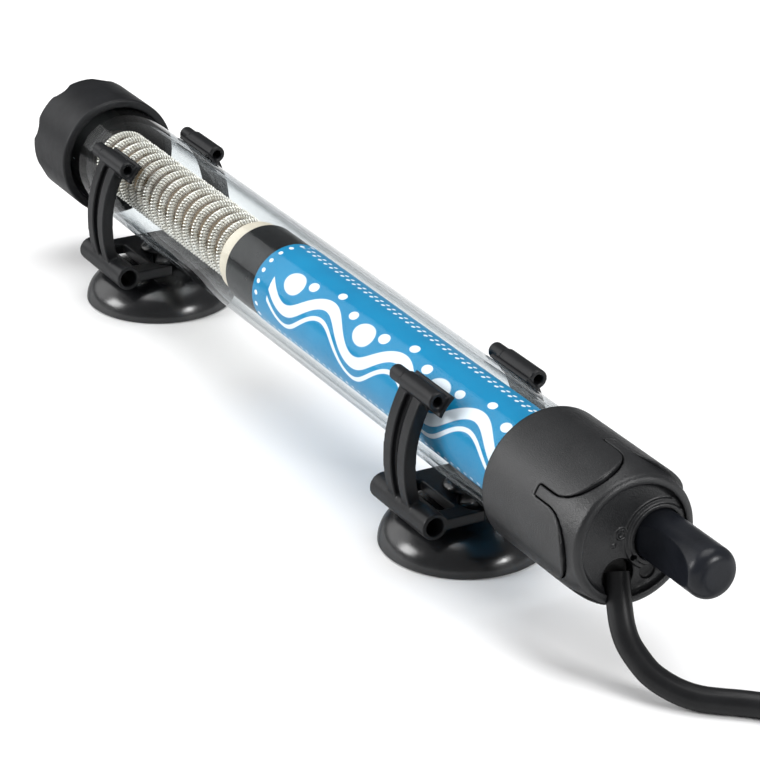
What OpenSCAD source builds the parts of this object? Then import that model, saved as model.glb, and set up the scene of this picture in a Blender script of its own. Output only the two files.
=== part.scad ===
// Submersible aquarium heater, lying on its two suction cups.
// +X runs along the tube towards the control knob and +Z is up. The cups' rims rest on z = 0,
// and x = 0 is the middle of the heater, measured without its mains lead.

/* [Glass tube] */
// Outside diameter of the glass tube
tube_d = 24; // [23.6:0.1:24.4]
// Wall of the glass tube
tube_wall = 1; // [0.9:0.1:1.2]
// Bare glass between the end guard and the control cap
tube_shown = 192.5; // [180:0.5:220]
// Height of the tube's axis above the surface
axis_h = 27.2; // [27:0.1:28]

/* [End guard] */
// Length of the end guard
guard_len = 18.5; // [18:0.5:22]
// Outside diameter of the end guard
guard_d = 28.4; // [28:0.1:30]

/* [Control cap] */
// Length of the cap up to the lip of its face
cap_len = 31; // [31:0.5:34]
// Outside diameter of the cap
cap_d = 28.2; // [28:0.1:29]
// Length of the narrow tabs on the cover
tab_len = 4.4; // [3:0.2:6]
// Width of the narrow tabs on the cover
tab_w = 2.1; // [1.6:0.1:3]

/* [Knob] */
// How far the knob stands out past the face's lip
knob_out = 18; // [14:0.5:20]
// Diameter of the knob
knob_d = 10.2; // [9.8:0.1:10.4]
// Thread pitch of the adjusting spindle
thread_pitch = 0.8; // [0.5:0.1:1]

/* [Heating element] */
// Length of the wound part of the element
coil_len = 70; // [60:1:72]
// Turns of the element on its core
coil_turns = 16; // [14:1:18]
// Outside diameter of the wound element
coil_d = 15.2; // [14.8:0.1:15.6]

/* [Sleeve and label] */
// Outside diameter of the insulating sleeve
sleeve_d = 18.5; // [18.3:0.1:18.7]
// Bare part of the sleeve behind the label
sleeve_bare = 13; // [8:0.5:20]

/* [Brackets] */
// Distance of the rear bracket from the end guard's rim
clip_rear_at = 22.2; // [20:0.1:30]
// Distance between the two brackets
clip_pitch = 141; // [120:1:145]
// Width of a bracket's arms along the tube
arm_w = 8.5; // [8:0.5:11]

/* [Suction cups] */
// Diameter of a suction cup's rim
cup_d = 34.6; // [32:0.2:36]

/* [Mains lead] */
// Diameter of the round mains lead
cord_d = 4.8; // [4.6:0.1:4.8]

/* [Hidden] */
$fn = 64;

tube_r = tube_d / 2;
bore_r = tube_r - tube_wall;
overall = guard_len + tube_shown + cap_len + knob_out;
guard_rim = guard_len - overall / 2;      // x of the end guard's open rim
cap_rim = guard_rim + tube_shown;         // x of the cap's open rim
lip_x = cap_rim + cap_len;                // x of the lip round the cap's face
face_x = lip_x - 1.6;                     // x of the cap's recessed face
dome_x = guard_rim - 1.6;                 // centre of the tube's round end
mouth_x = cap_rim + 20;                   // x of the tube's open end
slip = 0.15;                              // gap round parts that push onto each other
run = 0.06;                               // radial clearance of a running fit

// Guard
guard_r = guard_d / 2;
guard_floor = 2.5;
guard_notches = 8;
notch_first = 118.5;                      // angle of the first notch, from +Y towards +Z
notch_r = 2.8;
notch_x = -0.6;                           // centre of the notches, from the guard's rear
notch_floor = guard_r - 1.6;

// Cap
cap_r = cap_d / 2;
cap_bore = tube_r + slip;
crests = 5;
crest_first = 78;                         // angle of the first crest, from +Y towards +Z
valley_x = 28.4;                          // front of the sleeve's lobes, from the cap's rim
flare_r = 7.2;                            // radius where a crest runs out into the valleys
lip_r = 12.9;
lip_in = 10.9;
face_t = 2.4;
ring_yz = [-2.25, 1.35];                  // marks on the face, as (y, z) from the tube's axis
pit_yz = [0.4, -3.85];
dimple_yz = [3.95, -7.5];

// Knob, spindle and the lead's exit, as (y, z) from the tube's axis
knob_yz = [5.5, -0.3];
exit_yz = [-2.5, -7.0];
knob_r = knob_d / 2;
spindle_r = 1.5;
scoop_r = 27;                             // radius of the knob's two side scoops
scoop_x = 6.5;                            // deepest point of the scoops, from the lip
blade_t = 6.6;                            // knob's thickness between the scoops
knob_root = face_x - face_t + 0.2;

// Element
coil_start = guard_rim + 1;
coil_end = coil_start + coil_len;
coil_pitch = coil_len / coil_turns;
strand_r = 1.35;
coil_r = coil_d / 2 - strand_r;
core_r = 4.4;
collar_r = 8.4;                           // front collar, which meets the sleeve
stop_r = 6.4;                             // rear collar, which stops the winding
rod_y = 6.9;                              // the two support rods, either side of the axis
rod_r = 0.6;

// Sleeve
sleeve_r = sleeve_d / 2;
sleeve_wall = 0.7;
sleeve_rear = guard_rim + 76;
sleeve_front = cap_rim - 2.5;
film_t = 0.15;

// Thermostat, all measured from the cap's rim
board_x = cap_rim - 74;
board_len = 68;
board_z = -5.6;
guide_x = cap_rim - 9;
pivot_x = cap_rim - 24;
pivot_z = -3;
nose_x = pivot_x + 0.85;

// Brackets, as (y, z) from the tube's axis
grip = tube_r + run;
arm_c = [13.1, -6.3];
arm_mid = 28;
arm_t = 2.7;
rib_w = 3;                                // width of each of an arm's two ribs
tip_r = 2;                                // radius of the barrels at the arms' tips
tip_yz = [11.2, 8.6];
tip_hole = 1;
pad_angle = 142;                          // where the arms' pads press on the tube, from +Y
pad = [14, 4.8, 1.2];
slot_y = 7.9;                             // middle of the plate's two slots
slot = [13, 3.6];
head_x = 6.2;                             // keyhole's wide end, from the middle
eye_yz = [12.8, 10.6 - 27.2];
eye_len = 21.5;
eye_r = 2.8;
eye_hole = 1.9;
plate_t = 2.4;

// Suction cups
cup_r = cup_d / 2;
neck_r = 3.1;
head_r = 4.5;
plate_low = axis_h + eye_yz[1] - plate_t / 2;
plate_top = plate_low + plate_t;

// Mains lead: its route from the gland to the hank
cord_r = cord_d / 2;
cord_route = [[109.6, -2.2, 20.4], [111.2, -2.8, 17.7], [112.8, -3.4, 15], [114.6, -3.9, 12.4],
    [116.8, -4, 9.9], [119.3, -3.4, 7.7], [121.9, -2.4, 5.7], [124.4, -0.7, 4.2],
    [126.9, 1.4, 3.1], [129.2, 3.8, 2.5], [131.4, 6.4, 2.4], [133.5, 9.1, 2.4],
    [135.7, 11.6, 2.4], [138.2, 13.9, 2.4], [140.9, 16, 2.4], [143.8, 17.8, 2.4],
    [147, 19.3, 2.4], [150.4, 20.4, 2.4], [154, 21.2, 2.4], [158, 21.6, 2.4], [170, 21.6, 2.4],
    [185, 21.6, 2.4], [200, 21.6, 2.4]];
hank_x = [200, 256];                      // centres of the hank's end loops
hank_y = 2.4;
hank_out = 19.2 + cord_r;
hank_in = 14.4 - cord_r;
hank_h = 3 * cord_d;
// The lead's tail, from the hank's last loop up to the plug
tail_route = [[186.5, 7.5, 12], [189.8, 12.6, 12.2], [194.6, 15.7, 12.8], [200, 16.8, 13.8],
    [206, 16.3, 15.2], [212, 14.8, 16.9], [218, 12.6, 18.6], [224, 10.2, 20], [229, 8.6, 20.8],
    [234, 8, 21]];
plug_x = 233;
plug_y = 8;
plug_z = hank_h;
tie_x = 226;

// ---- helpers ----

// Children drawn round local Z are turned to run along +X, from (x, y, z).
module along_x(x, y = 0, z = 0) {
    translate([x, y, axis_h + z]) rotate([0, 90, 0]) children();
}

// A round bar along +X.
module bar(x, len, r, y = 0, z = 0) {
    along_x(x, y, z) cylinder(r = r, h = len);
}

// A block given by its low and high corners, in x from 0 and in y and z from the tube's axis.
module block(low, high) {
    translate(low + [0, 0, axis_h]) cube(high - low);
}

// A solid of revolution round the tube's axis, from points [radius, distance from x].
module turned(x, points) {
    along_x(x) rotate_extrude($fn = 96) polygon(points);
}

function unit(v) = v / norm(v);
function heading(p, i) = unit(p[min(i + 1, len(p) - 1)] - p[max(i - 1, 0)]);

// A ring of points round p, in the plane of the unit vectors a and b.
function ring(p, r, a, b, sides) =
    [for (s = [0 : sides - 1]) p + r * (cos(360 * s / sides) * a + sin(360 * s / sides) * b)];

// The faces that join rings of points to a closed tube.
function tube_faces(rings, sides) = concat(
    [for (i = [0 : rings - 2], s = [0 : sides - 1])
        let (n = (s + 1) % sides, j = i * sides)
        each [[j + s, j + sides + s, j + sides + n], [j + s, j + sides + n, j + n]]],
    [[for (s = [0 : sides - 1]) s]],
    [[for (s = [sides - 1 : -1 : 0]) (rings - 1) * sides + s]]);

// A tube of radius r that follows the points p, with the given number of sides.
module swept(p, r, sides) polyhedron(
    [for (i = [0 : len(p) - 1])
        let (t = heading(p, i), a = unit(cross([0, 0, 1], t)))
        each ring(p[i], r, a, cross(t, a), sides)],
    tube_faces(len(p), sides));

// Turns children that are drawn round the X axis of the tube; +Z goes to the given angle from +Y.
module rotate_about_axis(angle) {
    translate([0, 0, axis_h]) rotate([angle - 90, 0, 0]) children();
}

// ---- glass tube and end guard ----

module round_ended(r, len) {
    intersection() {
        union() {
            circle(r = r, $fn = 96);
            translate([-r, 0]) square([2 * r, len]);
        }
        translate([0, -2 * r]) square([r, 2 * r + len]);
    }
}

module glass_tube() color("lightcyan", 0.35) {
    len = mouth_x - dome_x;
    along_x(dome_x) rotate_extrude($fn = 96) difference() {
        round_ended(tube_r, len);
        round_ended(bore_r, len + 1);
    }
}

module end_guard() color([0.1, 0.1, 0.11]) difference() {
    turned(guard_rim - guard_len, [[0, 0], [guard_r - 2.4, 0], [guard_r - 0.9, 0.6],
        [guard_r - 0.2, 1.7], [guard_r, 3], [guard_r, guard_len - 0.5], [guard_r - 0.4, guard_len],
        [cap_bore + 0.3, guard_len], [cap_bore, guard_len - 0.3], [cap_bore, guard_floor + 2],
        [cap_bore - 1.5, guard_floor], [0, guard_floor]]);
    for (k = [0 : guard_notches - 1]) rotate_about_axis(notch_first + 360 * k / guard_notches)
        translate([guard_rim - guard_len + notch_x, 0, notch_floor]) cylinder(r = notch_r, h = 6);
}

module guard_cushion() color([0.2, 0.2, 0.2])
    bar(guard_rim - guard_len + guard_floor, 2.3, 8.5);

// ---- control cap ----

// Outline of one crest of the cover: a narrow tab that flares out on both sides into the valleys.
// It is drawn in x from the cap's rim, and grow enlarges it.
module crest_outline(grow) {
    half = tab_w / 2 + grow;
    root = valley_x - flare_r;
    difference() {
        translate([root - tab_len - grow, -11]) square([cap_len - root + tab_len + 1, 22]);
        for (side = [-1, 1]) {
            translate([0, side > 0 ? half : -20 - half]) square([root, 20]);
            translate([root, side * (half + flare_r - grow)]) circle(r = flare_r - grow);
            translate([root, side > 0 ? half + flare_r - grow : -20 - half - flare_r + grow])
                square([flare_r - grow, 20]);
        }
    }
}

module crest_prisms(grow) {
    for (k = [0 : crests - 1]) rotate_about_axis(crest_first + 360 * k / crests)
        translate([cap_rim, 0, 9]) linear_extrude(7) crest_outline(grow);
}

module cap_sleeve() color([0.11, 0.11, 0.12]) difference() {
    turned(cap_rim, [[cap_bore + 0.2, 0], [cap_r - 0.6, 0], [cap_r, 0.6], [cap_r, valley_x],
        [cap_bore, valley_x], [cap_bore, 6.4], [cap_bore + 0.8, 6.4], [cap_bore + 0.8, 3.4],
        [cap_bore, 3.4], [cap_bore, 0.2]]);
    crest_prisms(slip);
}

module cap_gasket() color([0.22, 0.2, 0.2])
    turned(cap_rim + 3.6, [[tube_r + 0.02, 0], [cap_bore + 0.75, 0], [cap_bore + 0.75, 2.6],
        [tube_r + 0.02, 2.6]]);

module cover_skin() {
    turned(cap_rim, [[cap_bore, 14], [cap_r, 14], [cap_r, 20.5], [cap_r - 0.12, 23],
        [cap_r - 0.4, 25.4], [cap_r - 0.75, 27.4], [cap_r - 1, 29], [cap_r - 1.02, 30],
        [lip_r - 0.15, 30.6], [lip_r - 0.6, cap_len - 0.05], [lip_r - 1, cap_len],
        [lip_in + 0.35, cap_len - 0.7], [lip_in, face_x - cap_rim], [lip_in - 1, face_x - cap_rim],
        [lip_in - 1, 26], [cap_bore, 26]]);
}

module cap_cover() color([0.11, 0.11, 0.12]) difference() {
    union() {
        intersection() {
            cover_skin();
            union() {
                crest_prisms(0);
                bar(cap_rim + valley_x + slip, 4, 20);
                bar(cap_rim + 24, 10, cap_bore - 0.01);
            }
        }
        bar(face_x - face_t, face_t, cap_bore - 0.01);
        bar(face_x - face_t, face_t + 0.45, knob_r + 1.9, knob_yz[0], knob_yz[1]);
        bar(face_x - face_t, face_t + 0.9, knob_r + 1, knob_yz[0], knob_yz[1]);
        difference() {
            bar(face_x - 0.1, 0.45, 1.15, ring_yz[0], ring_yz[1]);
            bar(face_x - 1, 3, 0.75, ring_yz[0], ring_yz[1]);
        }
    }
    bar(face_x - face_t - 1, 8, knob_r + 0.08, knob_yz[0], knob_yz[1]);
    bar(face_x - face_t - 1, 8, 3.3, exit_yz[0], exit_yz[1]);
    bar(face_x - 1.5, 3, 0.6, pit_yz[0], pit_yz[1]);
    bar(face_x - 0.7, 3, 1.7, dimple_yz[0], dimple_yz[1]);
    lead_path(cord_r + 0.2);
}

// The straight start of the lead, as a bar of radius r.
module lead_path(r) {
    start = cord_route[0];
    way = unit(cord_route[2] - start);
    translate(start) rotate([0, acos(way[2]), atan2(way[1], way[0])])
        translate([0, 0, 1]) cylinder(r = r, h = 14);
}

module seal_plug() color([0.16, 0.16, 0.16]) difference() {
    union() {
        bar(cap_rim + 5, mouth_x - cap_rim - 5, bore_r - 0.03);
        bar(mouth_x + 0.05, 2.6, tube_r);
        bar(mouth_x - 0.5, 1, bore_r - 0.03);
    }
    bar(cap_rim, 30, spindle_r + run, knob_yz[0], knob_yz[1]);
    bar(mouth_x - 1, 6, 3.4, knob_yz[0], knob_yz[1]);
    for (side = [-1, 1]) bar(cap_rim, 30, 0.85, -5, side * 3);
    bar(mouth_x - 2, 8, 2.95, exit_yz[0], exit_yz[1]);
}

module knob_seal() color([0.2, 0.18, 0.18]) difference() {
    bar(mouth_x - 0.9, 3.5, 3.35, knob_yz[0], knob_yz[1]);
    bar(mouth_x - 2, 6, spindle_r + run, knob_yz[0], knob_yz[1]);
}

module cord_gland() color([0.14, 0.14, 0.14])
    bar(mouth_x - 1.9, lip_x - 3.2 - mouth_x + 1.9, 2.9, exit_yz[0], exit_yz[1]);

// ---- heating element ----

module ceramic_core() color([0.9, 0.86, 0.78]) difference() {
    bar(coil_start - 1.5, coil_len + 3, core_r);
    bar(coil_start - 3, coil_len + 6, 1.2);
}

module heating_coil() color([0.78, 0.76, 0.7]) {
    steps = 11 * coil_turns;
    helix_tube([for (i = [0 : steps]) let (a = 360 * coil_turns * i / steps)
        [coil_start + strand_r + (coil_len - 2 * strand_r) * i / steps,
         coil_r * cos(a), axis_h + coil_r * sin(a)]], strand_r, 6);
}

// A tube round a helix about the tube's axis; its rings keep one corner pointing outwards.
module helix_tube(p, r, sides) polyhedron(
    [for (i = [0 : len(p) - 1])
        let (t = heading(p, i), out = [0, p[i][1], p[i][2] - axis_h],
             a = unit(out - (out * t) * t))
        each ring(p[i], r, a, cross(t, a), sides)],
    tube_faces(len(p), sides));

module front_collar() color([0.9, 0.87, 0.8]) difference() {
    x = coil_end + 0.3;
    bar(x, 4.4, collar_r);
    bar(x - 1, 7, core_r + 0.1);
    for (side = [-1, 1]) bar(x - 1, 7, rod_r + 0.1, side * rod_y, 0);
    bar(x - 1, 7, rod_r + 0.1, 0, rod_y);
}

module rear_collar() color([0.9, 0.87, 0.8]) difference() {
    bar(coil_start - 1.7, 1.6, stop_r);
    bar(coil_start - 2, 3, core_r + 0.1);
}

module support_rods() color([0.75, 0.75, 0.76])
    for (side = [-1, 1]) bar(coil_end + 0.6, board_x + 1.8 - coil_end - 0.6, rod_r, side * rod_y, 0);

module insulating_sleeve() color([0.09, 0.09, 0.1]) difference() {
    bar(sleeve_rear, sleeve_front - sleeve_rear, sleeve_r);
    bar(sleeve_rear - 1, sleeve_front - sleeve_rear + 2, sleeve_r - sleeve_wall);
}

module label_film() color([0.12, 0.55, 0.82]) difference() {
    bar(sleeve_rear + sleeve_bare, sleeve_front - sleeve_rear - sleeve_bare - 0.5,
        sleeve_r + 0.02 + film_t);
    bar(sleeve_rear + 1, sleeve_front - sleeve_rear, sleeve_r + 0.02);
}

// ---- thermostat ----

module thermostat_chassis() color([0.85, 0.82, 0.72]) difference() {
    union() {
        block([board_x, -5.5, board_z], [board_x + board_len, 5.5, board_z + 1]);
        block([board_x + 3, 2.4, board_z], [board_x + 10, 5.5, 0.7]);
        block([board_x, -7.4, board_z + 2.2], [board_x + 2, 7.4, 1]);
        block([board_x, -5.5, board_z], [board_x + 2, 5.5, 0]);
        block([guide_x, -5.5, board_z], [guide_x + 1.5, 5.5, 2.5]);
        bar(guide_x, 1.5, 2.3, knob_yz[0], knob_yz[1]);
        block([pivot_x - 1.6, 2.2, board_z], [pivot_x + 1.6, 3.3, pivot_z + 1.6]);
        block([pivot_x - 15, -0.6, board_z], [pivot_x - 10, 1.4, 0.2]);
    }
    bar(guide_x - 1, 4, spindle_r + run, knob_yz[0], knob_yz[1]);
    for (side = [-1, 1]) {
        bar(board_x - 1, 4, rod_r + 0.02, side * rod_y, 0);
        bar(guide_x - 1, 4, 0.75, -5, side * 3);
    }
    bar(board_x - 1, 4, 0.75);
    translate([pivot_x, 0, axis_h + pivot_z]) rotate([-90, 0, 0]) cylinder(r = 0.61, h = 6);
}

module bimetal_strip() color([0.8, 0.65, 0.35])
    block([board_x + 3, 3.7, 0.75], [pivot_x - 8.6, 7.3, 1.25]);

module bimetal_contact() color([0.85, 0.85, 0.86])
    translate([pivot_x - 10, knob_yz[0], axis_h]) cylinder(r = 1, h = 0.7);

module bimetal_rivets() color([0.7, 0.7, 0.72])
    for (x = [board_x + 5, board_x + 8]) translate([x, 4.5, axis_h + 1.3]) cylinder(r = 0.8, h = 0.5);

module snap_magnet() color([0.3, 0.3, 0.32])
    block([pivot_x - 14.4, -0.4, 0.25], [pivot_x - 10.6, 1.4, 2.6]);

module suppression_capacitor() color([0.75, 0.3, 0.15])
    block([board_x + 14, -6, board_z + 1.05], [board_x + 26, -1, 3.4]);

module lever_pin() color([0.72, 0.72, 0.74])
    translate([pivot_x, 2.2, axis_h + pivot_z]) rotate([-90, 0, 0]) cylinder(r = 0.6, h = 4.8);

module contact_lever() color([0.82, 0.68, 0.3]) difference() {
    union() {
        translate([pivot_x, 3.5, axis_h + pivot_z]) rotate([-90, 0, 0]) cylinder(r = 1.3, h = 3.3);
        block([pivot_x, 3.9, pivot_z], [pivot_x + 0.7, 6.6, 0.9]);
        block([pivot_x - 11.5, 3.9, pivot_z], [pivot_x, 6.6, pivot_z + 0.6]);
    }
    translate([pivot_x, 3, axis_h + pivot_z]) rotate([-90, 0, 0]) cylinder(r = 0.65, h = 5);
}

module lever_contact() color([0.85, 0.85, 0.86])
    translate([pivot_x - 10, knob_yz[0], axis_h + pivot_z + 0.62]) cylinder(r = 1, h = 0.7);

module plunger() color([0.93, 0.93, 0.9]) difference() {
    union() {
        block([nose_x + 3.5, 3.4, -2.4], [nose_x + 10, 7.4, 1.8]);
        bar(nose_x + 0.9, 3, 1, knob_yz[0], knob_yz[1]);
        translate([nose_x + 0.9, knob_yz[0], axis_h + knob_yz[1]]) sphere(r = 0.8, $fn = 24);
    }
    bar(nose_x + 4.5, 8, spindle_r + run, knob_yz[0], knob_yz[1]);
}

module terminal_pins() color([0.85, 0.7, 0.35])
    for (side = [-1, 1]) bar(cap_rim - 1, mouth_x - cap_rim + 4, 0.8, -5, side * 3);

module lead_wires() color([0.85, 0.85, 0.85]) {
    bar(coil_start + 4, board_x - coil_start + 9, 0.5, 0, 0);
    bar(coil_end - 1, board_x - coil_end + 14, 0.5, 0, rod_y);
    for (side = [-1, 1]) bar(board_x + 30, cap_rim - 1.1 - board_x - 30, 0.6, -5, side * 3);
}

// ---- knob ----

module knob() color([0.07, 0.07, 0.08]) {
    out = lip_x + knob_out - knob_root;
    tip = 2.6;
    translate([0, knob_yz[0], knob_yz[1]]) difference() {
        turned(knob_root, [[0, 0], [knob_r, 0], [knob_r, out - tip], [knob_r - 0.35, out - 1.3],
            [knob_r - 1.3, out - 0.35], [knob_r - tip, out], [0, out]]);
        bar(knob_root - 1, 9, spindle_r + 0.02);
        for (side = [-1, 1]) translate([lip_x + scoop_x, side * (blade_t / 2 + scoop_r), axis_h - 10])
            cylinder(r = scoop_r, h = 20, $fn = 128);
    }
}

module spindle() color([0.78, 0.78, 0.8])
    bar(nose_x + 7, knob_root + 7.5 - nose_x - 7, spindle_r, knob_yz[0], knob_yz[1]);

module spindle_clip() color([0.6, 0.6, 0.62]) difference() {
    bar(guide_x + 1.7, 0.6, 2.7, knob_yz[0], knob_yz[1]);
    bar(guide_x + 1, 3, spindle_r + 0.02, knob_yz[0], knob_yz[1]);
}

// ---- brackets ----

// One arm with its outer channel, on the -Y side, round x = 0.
module arm() {
    translate([-arm_w / 2, arm_c[0], axis_h + arm_c[1]]) rotate([90, 0, 90]) difference() {
        arm_sector(arm_w, arm_mid - arm_t / 2, arm_mid + arm_t / 2);
        translate([0, 0, rib_w]) arm_sector(arm_w - 2 * rib_w, arm_mid, arm_mid + arm_t);
    }
}

// A ring sector in (y, z) that covers the arm's sweep, extruded by w.
module arm_sector(w, inner, outer) linear_extrude(w) intersection() {
    difference() {
        circle(r = outer, $fn = 180);
        circle(r = inner, $fn = 180);
    }
    polygon([[0, 0], 40 * [cos(149), sin(149)], 50 * [cos(175), sin(175)],
        40 * [cos(202), sin(202)]]);
}

// A bracket, round x = 0. Its bore grips the tube.
module clip_shape() difference() {
    union() {
        for (side = [0, 1]) mirror([0, side, 0]) {
            arm();
            bar(-eye_len / 2, eye_len, eye_r, -eye_yz[0], eye_yz[1]);
            bar(-3.6, 11.8, tip_r, -tip_yz[0], tip_yz[1]);
            bar(-8.2, 4.2, tip_r - 0.3, -tip_yz[0], tip_yz[1]);
            bar(-4.2, 1, tip_r - 0.7, -tip_yz[0], tip_yz[1]);
            rotate_about_axis(pad_angle) translate([-5, -pad[1] / 2, tube_r - 0.4]) cube(pad);
        }
        translate([-eye_len / 2, -eye_yz[0], plate_low]) cube([eye_len, 2 * eye_yz[0], plate_t]);
    }
    bar(-20, 40, grip);
    for (side = [-1, 1]) {
        bar(-20, 40, eye_hole, side * eye_yz[0], eye_yz[1]);
        bar(5.2, 8, tip_hole, side * tip_yz[0], tip_yz[1]);
        translate([0, side * slot_y, plate_low - 1]) linear_extrude(6) square(slot, center = true);
    }
    translate([0, 0, plate_low - 1]) cylinder(r = neck_r + 0.3, h = 6);
    translate([head_x, 0, plate_low - 1]) cylinder(r = head_r + 0.3, h = 6);
    translate([0, -2.6, plate_low - 1]) cube([head_x, 5.2, 6]);
}

module clip_front() color([0.09, 0.09, 0.1])
    translate([guard_rim + clip_rear_at + clip_pitch, 0, 0]) clip_shape();
module clip_rear() color([0.09, 0.09, 0.1])
    translate([guard_rim + clip_rear_at, 0, 0]) clip_shape();

// ---- suction cups ----

module cup_shape() rotate_extrude($fn = 96) polygon([[cup_r - 1.6, 0], [cup_r, 0], [cup_r, 0.5],
    [cup_r - 0.6, 2.7], [cup_r - 1.6, 4.4], [cup_r - 3.1, 5.9], [cup_r - 5.4, 7.2],
    [cup_r - 8.2, 8.2], [neck_r + 1.2, 8.8], [neck_r, 9.1], [neck_r, plate_top + 0.15],
    [head_r, plate_top + 0.15], [head_r, plate_top + 0.7], [neck_r, plate_top + 2],
    [0, plate_top + 2.1], [0, 5.6], [4, 5.4], [8, 4.4], [12, 2.5]]);

module cup_front() color([0.1, 0.1, 0.11])
    translate([guard_rim + clip_rear_at + clip_pitch, 0, 0]) cup_shape();
module cup_rear() color([0.1, 0.1, 0.11])
    translate([guard_rim + clip_rear_at, 0, 0]) cup_shape();

// ---- mains lead ----

module power_cord() color([0.06, 0.06, 0.07]) swept(cord_route, cord_r, 12);
module cord_tail() color([0.06, 0.06, 0.07]) swept(tail_route, cord_r, 12);

module stadium(r) hull() for (x = hank_x) translate([x, hank_y]) circle(r = r, $fn = 48);

module cord_hank() color([0.06, 0.06, 0.07]) difference() {
    linear_extrude(hank_h) difference() {
        stadium(hank_out);
        stadium(hank_in);
    }
    translate([tie_x - 4.2, hank_y - 23, -1]) cube([8.4, 12.2, hank_h + 2]);
}

module cord_tie() color([0.12, 0.12, 0.12]) difference() {
    translate([tie_x - 4, hank_y - hank_out - 0.7, 0])
        cube([8, hank_out - hank_in + 1.4, hank_h + 0.6]);
    translate([tie_x - 5, hank_y - hank_out + 0.05, 0.5])
        cube([10, hank_out - hank_in - 0.1, hank_h - 0.5]);
}

module plug_body() color([0.07, 0.07, 0.08]) translate([plug_x, plug_y, plug_z]) difference() {
    union() {
        translate([11, -17.5, 0.1]) cube([26, 35, 13.6]);
        translate([0, -4.5, 2.4]) cube([14, 9, 9]);
    }
    translate([-1, 0, 6.6]) rotate([0, 90, 0]) cylinder(r = cord_r + 0.1, h = 5);
}

module plug_pins() color([0.8, 0.8, 0.8]) for (side = [-1, 1])
    translate([plug_x + 37, plug_y + side * 9.3, plug_z + 6.9]) rotate([0, 90, 0])
        cylinder(r = 2, h = 19);

glass_tube();
end_guard();
guard_cushion();
cap_sleeve();
cap_cover();
cap_gasket();
seal_plug();
knob_seal();
cord_gland();
ceramic_core();
heating_coil();
front_collar();
rear_collar();
insulating_sleeve();
label_film();
thermostat_chassis();
bimetal_strip();
bimetal_contact();
bimetal_rivets();
snap_magnet();
suppression_capacitor();
lever_pin();
contact_lever();
lever_contact();
plunger();
lead_wires();
terminal_pins();
support_rods();
knob();
spindle();
spindle_clip();
clip_front();
clip_rear();
cup_front();
cup_rear();
power_cord();
cord_hank();
cord_tail();
cord_tie();
plug_body();
plug_pins();
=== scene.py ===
"""The looks of the submersible aquarium heater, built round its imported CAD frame."""
import math

import bmesh
import bpy
from mathutils import Matrix, Vector


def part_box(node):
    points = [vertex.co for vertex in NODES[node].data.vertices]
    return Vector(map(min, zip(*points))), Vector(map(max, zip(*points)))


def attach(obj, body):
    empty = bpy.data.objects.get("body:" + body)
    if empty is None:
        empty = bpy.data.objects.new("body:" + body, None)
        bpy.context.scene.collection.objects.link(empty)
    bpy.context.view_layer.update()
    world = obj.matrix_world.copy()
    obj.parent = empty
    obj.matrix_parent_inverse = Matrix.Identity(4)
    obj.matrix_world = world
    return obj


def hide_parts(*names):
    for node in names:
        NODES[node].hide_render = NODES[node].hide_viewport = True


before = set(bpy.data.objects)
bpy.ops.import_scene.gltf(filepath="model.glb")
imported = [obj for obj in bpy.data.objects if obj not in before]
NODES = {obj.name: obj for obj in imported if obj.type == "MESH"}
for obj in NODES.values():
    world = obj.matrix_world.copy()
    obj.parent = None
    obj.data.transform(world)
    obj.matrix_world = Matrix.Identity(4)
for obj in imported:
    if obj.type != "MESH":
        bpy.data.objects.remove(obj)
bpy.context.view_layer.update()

MM = 0.001

# ---- places and sizes, in millimetres, from the frame ----


def box_mm(node):
    low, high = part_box(node)
    return low / MM, high / MM


tube_low, tube_high = box_mm("glass_tube")
guard_low, guard_high = box_mm("end_guard")
sleeve_low, sleeve_high = box_mm("cap_sleeve")
cover_low, cover_high = box_mm("cap_cover")
knob_low, knob_high = box_mm("knob")
film_low, film_high = box_mm("label_film")
coil_low, coil_high = box_mm("heating_coil")
gland_low, gland_high = box_mm("cord_gland")

AXIS_Z = (tube_low.z + tube_high.z) / 2
TUBE_R = (tube_high.y - tube_low.y) / 2
TUBE_WALL = 1
MOUTH_X = tube_high.x
GUARD_REAR, GUARD_RIM = guard_low.x, guard_high.x
GUARD_R = (guard_high.z - guard_low.z) / 2
CAP_BORE = TUBE_R + 0.15
CAP_R = (sleeve_high.z - sleeve_low.z) / 2
CAP_RIM = sleeve_low.x
VALLEY = sleeve_high.x - CAP_RIM
LIP = cover_high.x - CAP_RIM
FACE = LIP - 1.6
KNOB_Y = (knob_low.y + knob_high.y) / 2
KNOB_Z = (knob_low.z + knob_high.z) / 2 - AXIS_Z
KNOB_R = (knob_high.z - knob_low.z) / 2
EXIT_Y = (gland_low.y + gland_high.y) / 2
EXIT_Z = (gland_low.z + gland_high.z) / 2 - AXIS_Z

# ---- camera ----

# Azimuth, elevation and roll in degrees, place in metres, focal length in millimetres.
CAMERA_ANGLES = (60.88, 24.31, 0.5)
CAMERA_PLACE = Vector((0.5240, -0.2820, 0.2850))
CAMERA_LENS = 147.4
CAMERA_SHIFT = (-0.0028, -0.0120)


def make_camera():
    azimuth, elevation, roll = (math.radians(a) for a in CAMERA_ANGLES)
    back = Vector((math.sin(azimuth) * math.cos(elevation),
                   -math.cos(azimuth) * math.cos(elevation), math.sin(elevation)))
    level = Vector((math.cos(azimuth), math.sin(azimuth), 0))
    upright = back.cross(level)
    right = level * math.cos(roll) + upright * math.sin(roll)
    up = upright * math.cos(roll) - level * math.sin(roll)
    data = bpy.data.cameras.new("camera")
    data.lens = CAMERA_LENS
    data.shift_x, data.shift_y = CAMERA_SHIFT
    data.clip_start, data.clip_end = 0.01, 20
    camera = bpy.data.objects.new("camera", data)
    bpy.context.scene.collection.objects.link(camera)
    turn = Matrix((right, up, back)).transposed().to_4x4()
    camera.matrix_world = Matrix.Translation(CAMERA_PLACE) @ turn
    bpy.context.scene.camera = camera


make_camera()

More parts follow.
